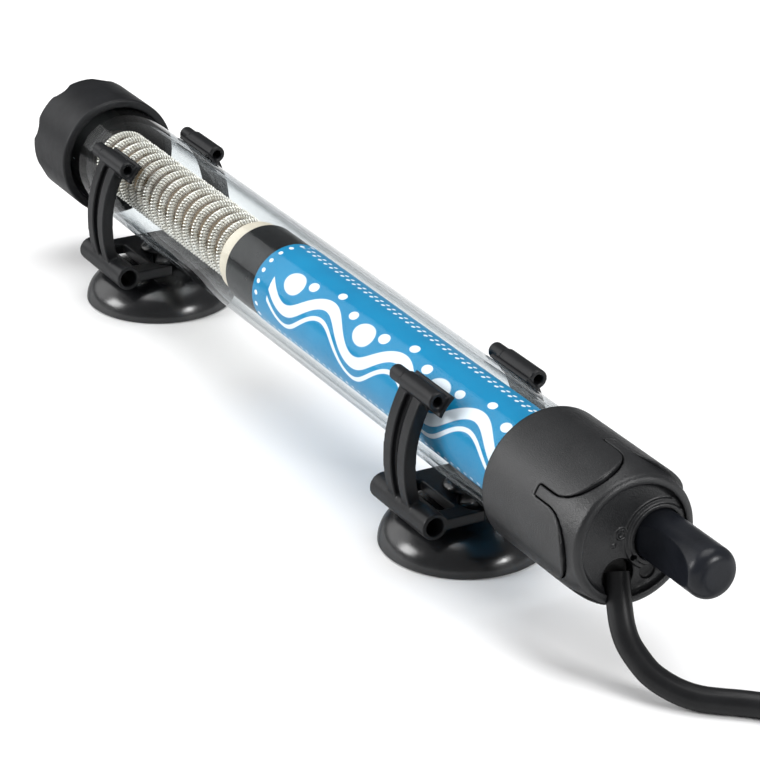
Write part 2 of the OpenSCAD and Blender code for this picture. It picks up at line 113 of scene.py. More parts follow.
# ---- mains lead: its route from the cap to the hank, as in the CAD, in millimetres ----

CORD_R = 2.4
CORD_ROUTE = [
    (109.6, -2.2, 20.4), (111.2, -2.8, 17.7), (112.8, -3.4, 15), (114.6, -3.9, 12.4),
    (116.8, -4, 9.9), (119.3, -3.4, 7.7), (121.9, -2.4, 5.7), (124.4, -0.7, 4.2), (126.9, 1.4, 3.1),
    (129.2, 3.8, 2.5), (131.4, 6.4, 2.4), (133.5, 9.1, 2.4), (135.7, 11.6, 2.4), (138.2, 13.9, 2.4),
    (140.9, 16, 2.4), (143.8, 17.8, 2.4), (147, 19.3, 2.4), (150.4, 20.4, 2.4), (154, 21.2, 2.4),
    (158, 21.6, 2.4), (170, 21.6, 2.4), (185, 21.6, 2.4), (200, 21.6, 2.4),
]
TAIL_ROUTE = [(200, 16.8, 13.8), (206, 16.3, 15.2), (212, 14.8, 16.9), (218, 12.6, 18.6),
              (224, 10.2, 20), (229, 8.6, 20.8), (234, 8, 21)]
# The hank: ends of its straight runs, its middle line, radii of its two windings, heights of its
# three layers, points in a straight run and in a loop, and points that rise to the tail.
HANK_LEFT, HANK_RIGHT, HANK_Y = 200, 256, 2.4
OUTER, INNER = 19.2, 14.4
LAYERS = (2.4, 7.2, 12)
RUN_STEPS, LOOP_STEPS = 6, 12
RISE_STEPS = 9


def hank_turn(start, end, moves):
    """One turn of the hank, clockwise from above: radius and height change only in the stretches
    that moves names. Stretches: 0 top run, 1 right loop, 2 bottom run, 3 left loop."""
    points = []
    low, high = moves
    width = HANK_RIGHT - HANK_LEFT
    for stretch, steps in enumerate((RUN_STEPS, LOOP_STEPS, RUN_STEPS, LOOP_STEPS)):
        for i in range(steps):
            along = i / steps
            share = min(max((stretch + along - low) / (high - low), 0), 1)
            share = share * share * (3 - 2 * share)
            radius = start[0] + (end[0] - start[0]) * share
            height = start[1] + (end[1] - start[1]) * share
            if stretch == 0:
                x, y = HANK_LEFT + width * along, HANK_Y + radius
            elif stretch == 2:
                x, y = HANK_RIGHT - width * along, HANK_Y - radius
            else:
                first, centre = (90, HANK_RIGHT) if stretch == 1 else (270, HANK_LEFT)
                a = math.radians(first - 180 * along)
                x, y = centre + radius * math.cos(a), HANK_Y + radius * math.sin(a)
            points.append((x, y, height))
    return points


def cord_points():
    low, mid, top = LAYERS
    points = CORD_ROUTE[:-1]
    points += hank_turn((OUTER, low), (INNER, low), (3, 4))
    points += hank_turn((INNER, low), (INNER, mid), (2, 3))
    points += hank_turn((INNER, mid), (OUTER, mid), (1, 2))
    points += hank_turn((OUTER, mid), (OUTER, top), (0.5, 1))
    last = hank_turn((OUTER, top), (INNER, top), (0, 0.5))
    lift = len(last) - RISE_STEPS
    rise = TAIL_ROUTE[0][2] - top
    points += last[:lift]
    points += [(x, y, z + rise * (i / RISE_STEPS) ** 2) for i, (x, y, z) in enumerate(last[lift:])]
    return points + TAIL_ROUTE


def make_cord(points):
    curve = bpy.data.curves.new("mains_lead", "CURVE")
    curve.dimensions = "3D"
    curve.bevel_depth = 1
    curve.bevel_resolution = 8
    curve.resolution_u = 4
    curve.use_fill_caps = True
    spline = curve.splines.new("BEZIER")
    spline.bezier_points.add(len(points) - 1)
    places = [Vector(p) * MM for p in points]
    before, after = places[:1] + places[:-1], places[1:] + places[-1:]
    for knot, place, last, following in zip(spline.bezier_points, places, before, after):
        knot.co = place
        knot.radius = CORD_R * MM  # of a bevel 1 m deep, so that the bounds fit the lead
        knot.handle_left = place - (following - last) / 6
        knot.handle_right = place + (following - last) / 6
    lead = bpy.data.objects.new("mains_lead", curve)
    bpy.context.scene.collection.objects.link(lead)
    return lead


lead_line = cord_points()
mains_lead = make_cord(lead_line)
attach(mains_lead, "heater")
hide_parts("power_cord", "cord_hank", "cord_tail")

# ---- materials ----


class Shader:
    """A node material under construction."""

    def __init__(self, name):
        self.material = bpy.data.materials.new("look_" + name)
        self.material.use_nodes = True
        self.tree = self.material.node_tree
        self.surface = self.tree.nodes["Principled BSDF"]
        self.output = self.tree.nodes["Material Output"]
        self.place = self.tree.nodes.new("ShaderNodeTexCoord").outputs["Object"]

    def set(self, **values):
        """Constant values of the Principled node's sockets, with _ for a space."""
        for name, value in values.items():
            self.surface.inputs[name.replace("_", " ")].default_value = value

    def link(self, source, target):
        self.tree.links.new(source, target)

    def math(self, operation, *inputs, clamp=False):
        node = self.tree.nodes.new("ShaderNodeMath")
        node.operation = operation
        node.use_clamp = clamp
        for socket, value in zip(node.inputs, inputs):
            if isinstance(value, bpy.types.NodeSocket):
                self.link(value, socket)
            else:
                socket.default_value = value
        return node.outputs[0]

    def noise(self, period, detail=3, stretch=(1, 1, 1), roughness=0.5):
        """Noise from 0 to 1 whose blobs are about period millimetres across."""
        scale = self.tree.nodes.new("ShaderNodeMapping")
        scale.inputs["Scale"].default_value = stretch
        self.link(self.place, scale.inputs["Vector"])
        node = self.tree.nodes.new("ShaderNodeTexNoise")
        node.inputs["Scale"].default_value = 1 / (period * MM)
        node.inputs["Detail"].default_value = detail
        node.inputs["Roughness"].default_value = roughness
        self.link(scale.outputs[0], node.inputs["Vector"])
        return node.outputs["Fac"]

    def ramp(self, value, *stops):
        """A colour for value, from stops (position, colour)."""
        node = self.tree.nodes.new("ShaderNodeValToRGB")
        while len(node.color_ramp.elements) < len(stops):
            node.color_ramp.elements.new(0.5)
        for element, (position, colour) in zip(node.color_ramp.elements, stops):
            element.position = position
            element.color = (*colour, 1)
        self.link(value, node.inputs["Fac"])
        return node.outputs["Color"]

    def mix(self, share, first, second):
        node = self.tree.nodes.new("ShaderNodeMix")
        node.data_type = "RGBA"
        for socket, value in ((node.inputs["Factor"], share), (node.inputs["A"], first),
                              (node.inputs["B"], second)):
            if isinstance(value, bpy.types.NodeSocket):
                self.link(value, socket)
            else:
                socket.default_value = value if isinstance(value, float) else (*value, 1)
        return node.outputs["Result"]

    def range(self, value, low, high):
        node = self.tree.nodes.new("ShaderNodeMapRange")
        node.inputs["To Min"].default_value, node.inputs["To Max"].default_value = low, high
        self.link(value, node.inputs["Value"])
        return node.outputs["Result"]

    def bump(self, *layers):
        """Bump from layers (height, depth in millimetres), the coarse ones first."""
        normal = None
        for height, depth in layers:
            node = self.tree.nodes.new("ShaderNodeBump")
            node.inputs["Strength"].default_value = 1
            node.inputs["Distance"].default_value = depth * MM
            self.link(height, node.inputs["Height"])
            if normal:
                self.link(normal, node.inputs["Normal"])
            normal = node.outputs["Normal"]
        self.link(normal, self.surface.inputs["Normal"])

    def colour(self, socket):
        self.link(socket, self.surface.inputs["Base Color"])

    def roughness(self, socket):
        self.link(socket, self.surface.inputs["Roughness"])

    def axis_angle(self):
        """Sockets for x in millimetres and for the angle round the axis, in degrees from +Y."""
        split = self.tree.nodes.new("ShaderNodeSeparateXYZ")
        self.link(self.place, split.inputs[0])
        height = self.math("SUBTRACT", split.outputs["Z"], AXIS_Z * MM)
        angle = self.math("ARCTAN2", height, split.outputs["Y"])
        return (self.math("DIVIDE", split.outputs["X"], MM),
                self.math("MULTIPLY", angle, math.degrees(1)))


# Moulded plastic keeps its gloss up to FACING_FULL of Layer Weight and has SLANT_GLOSS from
# FACING_DULL on. Noise periods and bump depths are in millimetres.
FACING_FULL, FACING_DULL, SLANT_GLOSS = 0.4, 0.72, 0.03
BLOTCH, BLOTCH_DEPTH = 6, 0.05
RUB_MARKS, RUB_SPREAD = 2.2, 0.07
RAMP_LOW, RAMP_HIGH = 0.3, 0.7


def moulded(name, dark, light, rough, grain, grain_depth, specular=0.2):
    """Moulded plastic or rubber: blotchy tone, fine grain, and rub marks in its gloss."""
    s = Shader(name)
    tone = s.noise(BLOTCH, 4)
    fine = s.noise(grain, 2, roughness=0.7)
    blend = s.math("ADD", s.math("MULTIPLY", tone, 0.7), s.math("MULTIPLY", fine, 0.3))
    s.colour(s.ramp(blend, (RAMP_LOW, dark), (RAMP_HIGH, light)))
    s.roughness(s.range(s.noise(RUB_MARKS, 5), rough - RUB_SPREAD, rough + RUB_SPREAD))
    s.bump((tone, BLOTCH_DEPTH), (fine, grain_depth))
    facing = s.tree.nodes.new("ShaderNodeLayerWeight").outputs["Facing"]
    fall = (specular - SLANT_GLOSS) / (FACING_DULL - FACING_FULL)
    gloss = s.math("MULTIPLY_ADD", facing, -fall, specular + fall * FACING_FULL)
    gloss = s.math("MINIMUM", s.math("MAXIMUM", gloss, SLANT_GLOSS), specular)
    s.link(gloss, s.surface.inputs["Specular IOR Level"])
    return s.material


def metal(name, dark, light, rough, stretch=(1, 1, 1), metallic=1.0):
    """Drawn or rolled metal: cloudy tone, and fine marks stretched along the draw."""
    s = Shader(name)
    s.set(Metallic=metallic)
    s.colour(s.ramp(s.noise(1.5, 4), (RAMP_LOW, dark), (RAMP_HIGH, light)))
    s.roughness(s.range(s.noise(0.4, 3, stretch), rough - 0.08, rough + 0.08))
    s.bump((s.noise(0.15, 3, stretch), 0.004))
    return s.material


# Share of light that the glass mirrors face on and at a slant, and how late the mirror sets in.
MIRROR_FACE_ON, MIRROR_SLANT, MIRROR_POWER = 0.012, 0.98, 7.0


def glass():
    """Thin clear glass: it lets light straight through and mirrors at a slant."""
    s = Shader("clear_glass")
    nodes = s.tree.nodes
    clear = nodes.new("ShaderNodeBsdfTransparent")
    shine = nodes.new("ShaderNodeBsdfGlossy")
    shine.inputs["Color"].default_value = (1, 1, 1, 1)
    slant = nodes.new("ShaderNodeLayerWeight")
    slant.inputs["Blend"].default_value = 0.5
    facing = slant.outputs["Facing"]
    mirrored = s.math("MULTIPLY_ADD", s.math("POWER", facing, MIRROR_POWER), MIRROR_SLANT,
                      MIRROR_FACE_ON)
    tint = s.ramp(facing, (0.0, (0.97, 0.98, 0.98)), (0.7, (0.92, 0.935, 0.94)),
                  (0.95, (0.42, 0.45, 0.47)))
    s.link(tint, clear.inputs["Color"])
    s.link(s.range(s.noise(12, 2), 0.015, 0.045), shine.inputs["Roughness"])
    blend = nodes.new("ShaderNodeMixShader")
    s.link(mirrored, blend.inputs["Fac"])
    s.link(clear.outputs[0], blend.inputs[1])
    s.link(shine.outputs[0], blend.inputs[2])
    s.link(blend.outputs[0], s.output.inputs["Surface"])
    nodes.remove(s.surface)
    return s.material


# Print on the label: two waves along the tube with bubbles in the bends of the bold one, and
# dotted borders. Lengths are in millimetres along the tube or round it, angles in degrees.
# Waves are (angle, half width); bubbles are (x, angle, radius).
WAVES = [(150, 1.35), (171, 0.55)]
WAVE_SWING, WAVE_PITCH, WAVE_START = 3.3, 30.0, -16.0
BUBBLES = [(-8.5, 133, 2.5), (-2.5, 122, 1.1), (6.5, 109, 0.9), (14.5, 121, 1.0), (21.5, 133, 2.5),
           (27.5, 122, 1.2), (36.5, 109, 1.0), (44.5, 121, 1.1), (51.5, 133, 2.5),
           (57.5, 122, 1.0), (66.5, 109, 0.9), (74.5, 121, 1.1)]
BUBBLE_STRETCH = 1.4
ROW_ANGLES, ROW_HALF_PITCH, ROW_DOT, ROW_FROM = (73, 80, 212), 1.25, (0.5, 0.42), 2.8
END_ROW_IN, END_ROW_HALF_PITCH, END_ROW_DOT = 1.7, 1.3, (0.62, 0.5)
LABEL_BLUES = ((0.002, 0.205, 0.41), (0.004, 0.245, 0.47))
LABEL_WHITE = (0.80, 0.86, 0.93)
DOT_RIM, DOT_EDGE, WAVE_EDGE = 1.15, 5.0, 6.0


def label():
    """Blue film with dotted borders and a stream of white bubbles over two waves."""
    s = Shader("label_film")
    s.set(Roughness=0.5, Specular_IOR_Level=0.15)
    x, angle = s.axis_angle()
    turn = s.math("MODULO", s.math("ADD", angle, 360.0), 360.0)
    radius = (film_high.z - film_low.z) / 2
    arc = s.math("MULTIPLY", turn, math.radians(1) * radius)

    def spot(along, across, half_long, half_wide):
        """1 inside an ellipse round the origin of along and across, with a soft edge."""
        far = s.math("ADD", s.math("POWER", s.math("DIVIDE", along, half_long), 2.0),
                     s.math("POWER", s.math("DIVIDE", across, half_wide), 2.0))
        return s.math("MULTIPLY", s.math("SUBTRACT", DOT_RIM, far), DOT_EDGE, clamp=True)

    def from_line(line, line_angle):
        """How far round the film a place is from a line at this angle."""
        return s.math("SUBTRACT", line, math.radians(line_angle) * radius)

    marks = []
    for row in ROW_ANGLES:
        dots = spot(s.math("WRAP", x, ROW_HALF_PITCH, -ROW_HALF_PITCH), from_line(arc, row), *ROW_DOT)
        marks.append(s.math("MULTIPLY", dots, s.math("GREATER_THAN", x, film_low.x + ROW_FROM)))
    marks.append(spot(s.math("SUBTRACT", x, film_low.x + END_ROW_IN),
                      s.math("WRAP", arc, END_ROW_HALF_PITCH, -END_ROW_HALF_PITCH), *END_ROW_DOT))
    phase = s.math("MULTIPLY", s.math("SUBTRACT", x, WAVE_START), math.tau / WAVE_PITCH)
    swing = s.math("MULTIPLY", s.math("SINE", phase), WAVE_SWING)
    slope = s.math("MULTIPLY", s.math("COSINE", phase), WAVE_SWING * math.tau / WAVE_PITCH)
    stretch = s.math("SQRT", s.math("MULTIPLY_ADD", slope, slope, 1.0))
    for wave_angle, half_width in WAVES:
        off = from_line(s.math("SUBTRACT", arc, swing), wave_angle)
        off = s.math("DIVIDE", s.math("ABSOLUTE", off), stretch)
        wave = s.math("MULTIPLY", s.math("SUBTRACT", half_width, off), WAVE_EDGE, clamp=True)
        marks.append(s.math("MULTIPLY", wave, s.math("GREATER_THAN", x, WAVE_START)))
    for bubble_x, bubble_angle, size in BUBBLES:
        marks.append(spot(s.math("SUBTRACT", x, bubble_x), from_line(arc, bubble_angle),
                          size * BUBBLE_STRETCH, size))
    white = marks[0]
    for mark in marks[1:]:
        white = s.math("MAXIMUM", white, mark)
    blue = s.ramp(s.noise(9, 3), *zip((RAMP_LOW, RAMP_HIGH), LABEL_BLUES))
    s.colour(s.mix(white, blue, LABEL_WHITE))
    s.bump((s.noise(0.8, 2), 0.004))
    return s.material


def plastic(name, dark, light, *feel):
    """Black plastic or rubber, with its dark and light tone in ten-thousandths."""
    return moulded(name, [c / 10000 for c in dark], [c / 10000 for c in light], *feel)


# plastic and moulded: dark and light tone, roughness, grain, grain depth and gloss.
# metal: dark and light tone, roughness and stretch.
MATERIALS = {
    "cap": plastic("cap_plastic", (65, 69, 76), (125, 130, 142), 0.35, 0.28, 0.08, 0.37),
    "guard": plastic("guard_plastic", (60, 63, 72), (110, 115, 130), 0.42, 0.35, 0.014),
    "clip": plastic("clip_plastic", (50, 54, 62), (100, 106, 120), 0.36, 0.45, 0.016),
    "cup": plastic("cup_rubber", (48, 52, 60), (85, 90, 102), 0.24, 0.6, 0.006, 0.55),
    "knob": plastic("knob_plastic", (55, 63, 85), (110, 124, 165), 0.31, 0.4, 0.016),
    "jacket": plastic("cord_jacket", (60, 62, 68), (110, 112, 122), 0.38, 0.5, 0.01),
    "plug": plastic("plug_plastic", (70, 72, 80), (130, 133, 145), 0.45, 0.35, 0.016),
    "sleeve": plastic("sleeve_plastic", (50, 52, 60), (85, 90, 100), 0.3, 1.5, 0.006),
    "seal": moulded("seal_rubber", (0.02, 0.02, 0.02), (0.035, 0.034, 0.033), 0.6, 0.4, 0.02),
    "ceramic": moulded("ceramic", (0.60, 0.53, 0.42), (0.78, 0.71, 0.60), 0.55, 0.25, 0.03),
    # The core is white ceramic; its dark brown tone is painted shade, standing in for the shadow in the
    # gaps between the coil's turns.
    "core": moulded("ceramic_core", (0.13, 0.085, 0.045), (0.20, 0.14, 0.08), 0.6, 0.3, 0.03),
    # The rear collar is ceramic; its near-black tone is painted shade, standing in for the guard's shadow
    # over the end of the coil.
    "stop": moulded("ceramic_stop_painted_shade", (0.030, 0.028, 0.026), (0.055, 0.052, 0.048), 0.6, 0.3, 0.03),
    "board": moulded("insulating_board", (0.55, 0.48, 0.34), (0.68, 0.60, 0.44), 0.6, 0.3, 0.01),
    "capacitor": moulded("dipped_capacitor", (0.42, 0.10, 0.03), (0.55, 0.15, 0.05), 0.25, 1, 0.02),
    "nylon": moulded("natural_nylon", (0.72, 0.70, 0.64), (0.82, 0.80, 0.75), 0.4, 0.5, 0.008),
    "wire": metal("resistance_wire", (0.72, 0.68, 0.60), (0.92, 0.90, 0.85), 0.38, metallic=0.7),
    "steel": metal("steel", (0.50, 0.50, 0.51), (0.68, 0.68, 0.70), 0.28, (1, 6, 6)),
    "brass": metal("brass", (0.55, 0.38, 0.14), (0.74, 0.55, 0.24), 0.3, (1, 5, 5)),
    "silver": metal("silver", (0.72, 0.72, 0.72), (0.88, 0.88, 0.88), 0.2),
    "magnet": metal("magnet", (0.10, 0.10, 0.11), (0.20, 0.20, 0.21), 0.4),
    "glass": glass(),
    "label": label(),
}


def dress(piece, kind):
    piece.data.materials.clear()
    piece.data.materials.append(MATERIALS[kind])
    return piece


dress(mains_lead, "jacket")

# ---- mesh tools: shapes are in millimetres until they are finished ----

ALONG_X = Matrix.Rotation(math.radians(90), 4, "Y")


def at(x, y=0, z=0):
    """Turns a shape drawn round local Z to run along +X from (x, y, z), z from the tube's axis."""
    return Matrix.Translation((x, y, AXIS_Z + z)) @ ALONG_X


def round_axis(angle):
    """Turns a shape drawn with local +Z outwards to angle round the tube's axis, from +Y."""
    return Matrix.Translation((0, 0, AXIS_Z)) @ Matrix.Rotation(math.radians(angle - 90), 4, "X")


def made(name, mesh):
    piece = bpy.data.objects.new(name, mesh)
    bpy.context.scene.collection.objects.link(piece)
    return piece


def from_bmesh(name, bm, matrix=None):
    if matrix is not None:
        bm.transform(matrix)
    bmesh.ops.recalc_face_normals(bm, faces=bm.faces)
    mesh = bpy.data.meshes.new(name)
    bm.to_mesh(mesh)
    bm.free()
    return made(name, mesh)


def lathe(name, profile, matrix, segments=256):
    """A solid of revolution from points (radius, along); a point of radius 0 is a pole."""
    bm = bmesh.new()
    rings = []
    for radius, along in profile:
        if radius < 1e-6:
            rings.append([bm.verts.new((0, 0, along))])
        else:
            rings.append([bm.verts.new((radius * math.cos(math.tau * i / segments),
                                        radius * math.sin(math.tau * i / segments), along))
                          for i in range(segments)])
    for first, second in zip(rings, rings[1:] + rings[:1]):
        for i in range(segments):
            j = (i + 1) % segments
            corners = [first[i % len(first)], first[j % len(first)], second[j % len(second)],
                       second[i % len(second)]]
            corners = [v for k, v in enumerate(corners) if v not in corners[:k]]
            if len(corners) > 2:
                bm.faces.new(corners)
    return from_bmesh(name, bm, matrix)


def rod(radius, low, high, matrix, segments=64):
    return lathe("rod", [(0, low), (radius, low), (radius, high), (0, high)], matrix, segments)


def prism(outline, low, high, matrix):
    """An outline in local X and Y, extruded from low to high along local Z."""
    bm = bmesh.new()
    rings = [[bm.verts.new((x, y, z)) for x, y in outline] for z in (low, high)]
    bm.faces.new(rings[0])
    bm.faces.new(rings[1])
    for i in range(len(outline)):
        j = (i + 1) % len(outline)
        bm.faces.new((rings[0][i], rings[0][j], rings[1][j], rings[1][i]))
    return from_bmesh("prism", bm, matrix)


def block(low, high, matrix=Matrix.Identity(4)):
    (x0, y0, z0), (x1, y1, z1) = low, high
    return prism([(x0, y0), (x1, y0), (x1, y1), (x0, y1)], z0, z1, matrix)


def arc(centre, radius, first, last, steps):
    """Points on a circle from angle first to last, in degrees."""
    angles = [math.radians(first + (last - first) * i / steps) for i in range(steps + 1)]
    return [(centre[0] + radius * math.cos(a), centre[1] + radius * math.sin(a)) for a in angles]


def settle(piece):
    """Bakes a piece's modifiers into its mesh."""
    graph = bpy.context.evaluated_depsgraph_get()
    mesh = bpy.data.meshes.new_from_object(piece.evaluated_get(graph))
    piece.modifiers.clear()
    piece.data = mesh
    return piece


def combine(piece, operation, others):
    """Unites, cuts or intersects piece with each of the others, which are used up."""
    for other in others:
        step = piece.modifiers.new("combine", "BOOLEAN")
        step.operation = operation
        step.solver = "MANIFOLD"
        step.object = other
        settle(piece)
        bpy.data.objects.remove(other)
    return piece


def soften(piece, voxel, rounds=5):
    """Rounds every edge a little, as a mould does."""
    remesh = piece.modifiers.new("remesh", "REMESH")
    remesh.mode = "VOXEL"
    remesh.voxel_size = voxel
    remesh.use_smooth_shade = True
    smooth = piece.modifiers.new("smooth", "SMOOTH")
    smooth.factor = 0.5
    smooth.iterations = rounds
    return settle(piece)


def finish(piece, name, body, kind, slot, *nodes):
    """Brings a shape from millimetres to metres and puts it on its body."""
    piece.name = piece.data.name = name
    piece.data.transform(Matrix.Scale(MM, 4))
    dress(piece, kind)
    for face in piece.data.polygons:
        face.use_smooth = True
    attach(piece, body)
    if nodes:
        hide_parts(*nodes)
    return piece


# ---- glass tube ----

MOUTH_ROUND = 0.4
TUBE_BANDS = 24


def glass_tube():
    bore = TUBE_R - TUBE_WALL
    dome = tube_low.x + TUBE_R
    outer = arc((0, 0), TUBE_R, 180, 90, 40)
    inner = arc((0, 0), bore, 90, 180, 40)
    profile = [(max(r, 0), x) for x, r in outer]
    length = MOUTH_X - dome
    profile += [(TUBE_R, length * i / TUBE_BANDS) for i in range(1, TUBE_BANDS)]
    profile += arc((TUBE_R - MOUTH_ROUND, length - MOUTH_ROUND), MOUTH_ROUND, 0, 90, 6)
    profile += arc((bore + MOUTH_ROUND, length - MOUTH_ROUND), MOUTH_ROUND, 90, 180, 6)
    profile += [(bore, length * (TUBE_BANDS - i) / TUBE_BANDS) for i in range(1, TUBE_BANDS)]
    profile += [(max(r, 0), x) for x, r in inner]
    tube = lathe("tube", profile, at(dome), 160)
    finish(tube, "glass_shell", "heater", "glass", "glass", "glass_tube")


glass_tube()

# ---- end guard ----

GUARD_HEEL, GUARD_LIP = 1.6, 0.5
GUARD_FLOOR = 2.5
NOTCHES, NOTCH_FIRST, NOTCH_R, NOTCH_BACK = 8, 118.5, 2.8, 0.6


def end_guard():
    length = GUARD_RIM - GUARD_REAR
    profile = [(0, 0), (GUARD_R - GUARD_HEEL - 0.1, 0)]
    profile += arc((GUARD_R - GUARD_HEEL, GUARD_HEEL), GUARD_HEEL, -90, 0, 12)
    profile += arc((GUARD_R - GUARD_LIP, length - GUARD_LIP), GUARD_LIP, 0, 90, 6)
    profile += arc((CAP_BORE + MOUTH_ROUND, length - MOUTH_ROUND), MOUTH_ROUND, 90, 180, 5)
    profile += [(CAP_BORE, GUARD_FLOOR + 2), (CAP_BORE - 1.5, GUARD_FLOOR), (0, GUARD_FLOOR)]
    guard = lathe("guard", profile, at(GUARD_REAR))
    back = Matrix.Translation((GUARD_REAR - NOTCH_BACK, 0, 0))
    notches = [rod(NOTCH_R, GUARD_R - 1.6, GUARD_R + 4,
                   round_axis(NOTCH_FIRST + 360 / NOTCHES * k) @ back) for k in range(NOTCHES)]
    combine(guard, "DIFFERENCE", notches)
    finish(soften(guard, 0.24), "guard_shell", "heater", "guard", "guard_plastic", "end_guard")


end_guard()

# ---- control cap ----

CRESTS = 5
CREST_FIRST = 78
TAB_HALF = 1.05
TAB_LEN = 4.4
FLARE_R = 7.2
SEAM = 0.25
RIM_ROUND = 0.7
GROOVE_REAR, GROOVE_FRONT, GROOVE_DEPTH = 3.4, 6.4, 0.8
LIP_R, LIP_IN, LIP_ROUND = 12.9, 10.9, 1.25
FLOOR_T = 2.4
# Marks on the face, from the tube's axis: (y, z, radius).
RING, PIT, DIMPLE, PIP = (-2.25, 1.35, 1.15), (0.4, -3.85, 0.6), (3.95, -7.5, 1.7), (-3.7, -0.8, 0.35)
LEAD_HOLE_R = 3.3


def crest(angle, grow):
    """The outer shape of one crest of the cover, as a block that reaches out through the cap."""
    half, root, flare = TAB_HALF + grow, VALLEY - FLARE_R, FLARE_R - grow
    side = [(root - TAB_LEN - grow, half)]
    side += arc((root, TAB_HALF + FLARE_R), flare, -90, 0, 32)
    side += [(root + flare, 11), (LIP + 1, 11)]
    outline = side + [(x, -y) for x, y in reversed(side)]
    return prism(outline, 9, 16, round_axis(angle) @ Matrix.Translation((CAP_RIM, 0, 0)))


def crest_angles():
    return [CREST_FIRST + 360 * k / CRESTS for k in range(CRESTS)]


def cap_sleeve():
    """The rear shell, cut away where the cover's crests lie, with a groove for the seal."""
    profile = [(CAP_BORE + 0.2, 0), (CAP_R - RIM_ROUND, 0)]
    profile += arc((CAP_R - RIM_ROUND, RIM_ROUND), RIM_ROUND, -90, 0, 6)
    profile += [(CAP_R, VALLEY), (CAP_BORE, VALLEY), (CAP_BORE, GROOVE_FRONT),
                (CAP_BORE + GROOVE_DEPTH, GROOVE_FRONT), (CAP_BORE + GROOVE_DEPTH, GROOVE_REAR),
                (CAP_BORE, GROOVE_REAR), (CAP_BORE, 0.2)]
    sleeve = lathe("sleeve", profile, at(CAP_RIM))
    combine(sleeve, "DIFFERENCE", [crest(a, SEAM) for a in crest_angles()])
    finish(soften(sleeve, 0.25, 3), "cap_rear_shell", "heater", "cap", "cap_plastic", "cap_sleeve")


def cap_cover():
    """The front shell with its crests, its lip, and the recessed face with its marks."""
    skin = [(CAP_BORE, 14), (CAP_R, 14), (CAP_R, 20.5), (CAP_R - 0.12, 23), (CAP_R - 0.4, 25.4),
            (CAP_R - 0.75, 27.4), (CAP_R - 1, 28.8)]
    skin += arc((LIP_R - 1.2, LIP - LIP_ROUND), LIP_ROUND, 15, 120, 18)
    skin += [(LIP_IN + 0.2, LIP - 0.75), (LIP_IN - 0.1, FACE + 0.3), (LIP_IN - 0.6, FACE),
             (LIP_IN - 1, FACE), (LIP_IN - 1, 26), (CAP_BORE, 26)]
    cover = lathe("cover", skin, at(CAP_RIM))
    keep = rod(20, VALLEY + SEAM, VALLEY + 4, at(CAP_RIM), 128)
    combine(keep, "UNION", [rod(CAP_BORE - 0.01, 24, 34, at(CAP_RIM), 192)]
            + [crest(a, 0) for a in crest_angles()])
    combine(cover, "INTERSECT", [keep])
    floor = CAP_RIM + FACE - FLOOR_T
    knob_at, exit_at = at(floor, KNOB_Y, KNOB_Z), at(floor, EXIT_Y, EXIT_Z)
    ring_in, ring_out = RING[2] - 0.4, RING[2]
    combine(cover, "UNION", [
        rod(CAP_BORE - 0.01, 0, FLOOR_T, at(floor), 192),
        rod(KNOB_R + 1.9, 0, 2.85, knob_at, 96),
        rod(KNOB_R + 1, 0, 3.3, knob_at, 96),
        lathe("ring", [(ring_in, 2), (ring_out, 2), (ring_out, 2.85), (ring_in, 2.85)],
              at(floor, *RING[:2]), 48),
        rod(PIP[2], 2, 2.8, at(floor, *PIP[:2]), 24),
    ])
    start, ahead = Vector(CORD_ROUTE[0]), Vector(CORD_ROUTE[2])
    lead_turn = (ahead - start).to_track_quat("Z", "Y").to_matrix().to_4x4()
    combine(cover, "DIFFERENCE", [
        rod(KNOB_R + 0.08, -1, 7, knob_at, 96),
        rod(LEAD_HOLE_R, -1, 7, exit_at, 64),
        rod(PIT[2], 0.9, 4, at(floor, *PIT[:2]), 32),
        rod(DIMPLE[2], 1.7, 4, at(floor, *DIMPLE[:2]), 48),
        rod(CORD_R + 0.2, 1, 15, Matrix.Translation(start) @ lead_turn, 64),
    ])
    finish(soften(cover, 0.17, 3), "cap_front_shell", "heater", "cap", "cap_plastic", "cap_cover")


cap_sleeve()
cap_cover()

# ---- knob ----


KNOB_TIP_R = 2.6
SPINDLE_HOLE_R = 1.52
SCOOP_R, SCOOP_FROM_LIP, SCOOP_OUT = 27, 6.5, 25.2


def knob():
    """A round bar with a rounded tip and a long finger scoop on each side."""
    length = knob_high.x - knob_low.x
    place = at(knob_low.x, KNOB_Y, KNOB_Z)
    profile = [(0, 0), (KNOB_R, 0)]
    profile += arc((KNOB_R - KNOB_TIP_R, length - KNOB_TIP_R), KNOB_TIP_R, 0, 90, 16)
    piece = lathe("knob", profile + [(0, length)], place, 192)
    cutters = [rod(SPINDLE_HOLE_R, -1, 8, place, 48)]
    for side in (-1, 1):
        centre = (CAP_RIM + LIP + SCOOP_FROM_LIP, KNOB_Y + side * (KNOB_R + SCOOP_OUT), AXIS_Z + KNOB_Z)
        cutters.append(rod(SCOOP_R, -10, 10, Matrix.Translation(centre), 512))
    combine(piece, "DIFFERENCE", cutters)
    finish(soften(piece, 0.14, 8), "knob_bar", "knob", "knob", "knob_plastic", "knob")


knob()

# ---- brackets and suction cups ----


